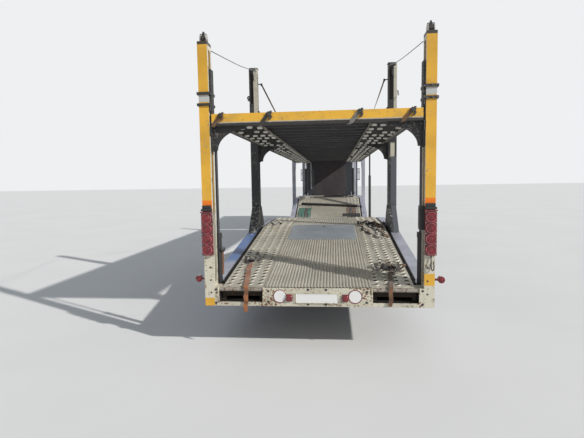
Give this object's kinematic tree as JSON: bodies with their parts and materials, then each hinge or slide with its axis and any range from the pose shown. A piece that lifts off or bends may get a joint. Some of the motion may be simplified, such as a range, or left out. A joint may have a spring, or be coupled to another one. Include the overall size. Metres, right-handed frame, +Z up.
{
  "type": "articulated car transporter truck",
  "caption": "Articulated lorry for carrying cars: cab-over tractor and low two-deck semi-trailer with lift posts, raised upper deck and tilting front platform.",
  "frame": {"origin": "on the ground under the middle of the lorry", "axes": "+Y forward towards the cab, +X to the lorry's right, +Z up"},
  "size_m": [2.9, 17.6, 3.908],
  "materials": {
    "tyre": "matte",
    "wheel_silver": "satin",
    "yellow_paint": "worn gloss",
    "cream_paint": "worn",
    "black_paint": "satin",
    "grey_paint": "worn",
    "deck_aluminium": "worn, dusty",
    "deck_steel": "worn",
    "rod_chrome": "polished",
    "red_lens": "gloss",
    "clear_lens": "gloss",
    "glass_tint": "tinted",
    "cab_graphite": "gloss",
    "black_plastic": "matte",
    "seat_fabric": "woven",
    "engine_iron": "cast",
    "tank_aluminium": "brushed",
    "chassis_black": "satin"
  },
  "bodies": {
    "trailer": {"trailer_frame": "grey_paint", "cross_members": "deck_steel", "gooseneck": "grey_paint", "lower_deck": "deck_aluminium", "rear_posts": "yellow_paint", "mid_posts": "black_paint", "front_posts": "grey_paint", "tail_beam": "cream_paint", "lift_barrels": "black_paint", "tail_lamps": "red_lens", "trailer_axles": "chassis_black", "trailer_mudguards": "black_plastic", "landing_legs": "chassis_black"},
    "tractor": {"tractor_frame": "chassis_black", "fifth_wheel": "chassis_black", "drive_axle": "chassis_black", "front_axle": "chassis_black", "engine": "engine_iron", "side_tanks": "tank_aluminium", "tractor_mudguards": "black_plastic", "cab_shell": "cab_graphite", "windscreen": "glass_tint", "bumper": "cab_graphite", "headlamps": "clear_lens", "grille": "black_plastic", "seats": "seat_fabric", "dashboard": "black_plastic"},
    "upper_deck": {"upper_deck": "deck_steel", "carriages": "deck_steel", "upper_cross_members": "deck_steel", "upper_tracks": "deck_steel", "lift_rods": "rod_chrome"},
    "front_platform": {"front_platform": "deck_steel", "platform_tracks": "deck_steel"},
    "tilt_barrels": {"tilt_barrels": "black_paint"},
    "tilt_rods": {"tilt_rods": "rod_chrome"},
    "ramp_left": {"ramp_left": "deck_aluminium"},
    "ramp_right": {"ramp_right": "deck_aluminium"},
    "door_left": {"door_left": "cab_graphite", "door_glass_left": "glass_tint"},
    "door_right": {"door_right": "cab_graphite", "door_glass_right": "glass_tint"},
    "knuckle_left": {"knuckle_left": "chassis_black"},
    "knuckle_right": {"knuckle_right": "chassis_black"},
    "steer_left_wheel": {"steer_left_tyre": "tyre", "steer_left_rim": "wheel_silver"},
    "drive_left_wheels": {"drive_left_tyres": "tyre", "drive_left_rims": "wheel_silver"},
    "trailer_rear_left_wheels": {"trailer_rear_left_tyres": "tyre", "trailer_rear_left_rims": "wheel_silver"},
    "trailer_front_left_wheels": {"trailer_front_left_tyres": "tyre", "trailer_front_left_rims": "wheel_silver"},
    "steer_right_wheel": {"steer_right_tyre": "tyre", "steer_right_rim": "wheel_silver"},
    "drive_right_wheels": {"drive_right_tyres": "tyre", "drive_right_rims": "wheel_silver"},
    "trailer_rear_right_wheels": {"trailer_rear_right_tyres": "tyre", "trailer_rear_right_rims": "wheel_silver"},
    "trailer_front_right_wheels": {"trailer_front_right_tyres": "tyre", "trailer_front_right_rims": "wheel_silver"}
  },
  "joints": [
    {"name": "kingpin_yaw", "type": "hinge", "parent": "trailer", "child": "tractor", "pos_m": [0, 4.06, 1.1], "axis": [0, 0, 1], "range_deg": [-75, 75]},
    {"name": "upper_deck_lift", "type": "slide", "parent": "trailer", "child": "upper_deck", "axis": [0, 0, 1], "range_m": [-0.3, 0.4]},
    {"name": "platform_tilt", "type": "hinge", "parent": "trailer", "child": "front_platform", "pos_m": [0, 1.9, 2.6], "axis": [1, 0, 0], "range_deg": [0, 8]},
    {"name": "tilt_barrel_swing", "type": "hinge", "parent": "trailer", "child": "tilt_barrels", "pos_m": [0, 4.56, 1.42], "axis": [1, 0, 0], "range_deg": [0, 1.4]},
    {"name": "tilt_rod_stroke", "type": "slide", "parent": "tilt_barrels", "child": "tilt_rods", "axis": [0, 0, 1], "range_m": [0, 0.375]},
    {"name": "ramp_left_slide", "type": "slide", "parent": "trailer", "child": "ramp_left", "axis": [0, -1, 0], "range_m": [0, 1.7]},
    {"name": "ramp_right_slide", "type": "slide", "parent": "trailer", "child": "ramp_right", "axis": [0, -1, 0], "range_m": [0, 1.7]},
    {"name": "door_left_hinge", "type": "hinge", "parent": "tractor", "child": "door_left", "pos_m": [-1.246, 8.377, 1.9], "axis": [0, 0, -1], "range_deg": [0, 72]},
    {"name": "door_right_hinge", "type": "hinge", "parent": "tractor", "child": "door_right", "pos_m": [1.246, 8.377, 1.9], "axis": [0, 0, 1], "range_deg": [0, 72]},
    {"name": "steer_left", "type": "hinge", "parent": "tractor", "child": "knuckle_left", "pos_m": [-0.83, 7.36, 0.475], "axis": [0, 0, 1], "range_deg": [-36, 36]},
    {"name": "steer_right", "type": "hinge", "parent": "tractor", "child": "knuckle_right", "pos_m": [0.83, 7.36, 0.475], "axis": [0, 0, 1], "range_deg": [-36, 36]},
    {"name": "steer_left_spin", "type": "hinge", "parent": "knuckle_left", "child": "steer_left_wheel", "pos_m": [-1.055, 7.36, 0.475], "axis": [1, 0, 0], "continuous": true},
    {"name": "drive_left_spin", "type": "hinge", "parent": "tractor", "child": "drive_left_wheels", "pos_m": [-0.92, 3.61, 0.475], "axis": [1, 0, 0], "continuous": true},
    {"name": "trailer_rear_left_spin", "type": "hinge", "parent": "trailer", "child": "trailer_rear_left_wheels", "pos_m": [-0.985, -5.74, 0.395], "axis": [1, 0, 0], "continuous": true},
    {"name": "trailer_front_left_spin", "type": "hinge", "parent": "trailer", "child": "trailer_front_left_wheels", "pos_m": [-0.985, -4.39, 0.395], "axis": [1, 0, 0], "continuous": true},
    {"name": "steer_right_spin", "type": "hinge", "parent": "knuckle_right", "child": "steer_right_wheel", "pos_m": [1.055, 7.36, 0.475], "axis": [1, 0, 0], "continuous": true},
    {"name": "drive_right_spin", "type": "hinge", "parent": "tractor", "child": "drive_right_wheels", "pos_m": [0.92, 3.61, 0.475], "axis": [1, 0, 0], "continuous": true},
    {"name": "trailer_rear_right_spin", "type": "hinge", "parent": "trailer", "child": "trailer_rear_right_wheels", "pos_m": [0.985, -5.74, 0.395], "axis": [1, 0, 0], "continuous": true},
    {"name": "trailer_front_right_spin", "type": "hinge", "parent": "trailer", "child": "trailer_front_right_wheels", "pos_m": [0.985, -4.39, 0.395], "axis": [1, 0, 0], "continuous": true}
  ],
  "couplings": [
    {"joint": "tilt_barrel_swing", "follows": "platform_tilt", "ratio": 0.16},
    {"joint": "tilt_rod_stroke", "follows": "platform_tilt", "m_per_rad": 2.651},
    {"joint": "steer_right", "follows": "steer_left", "ratio": 1}
  ]
}
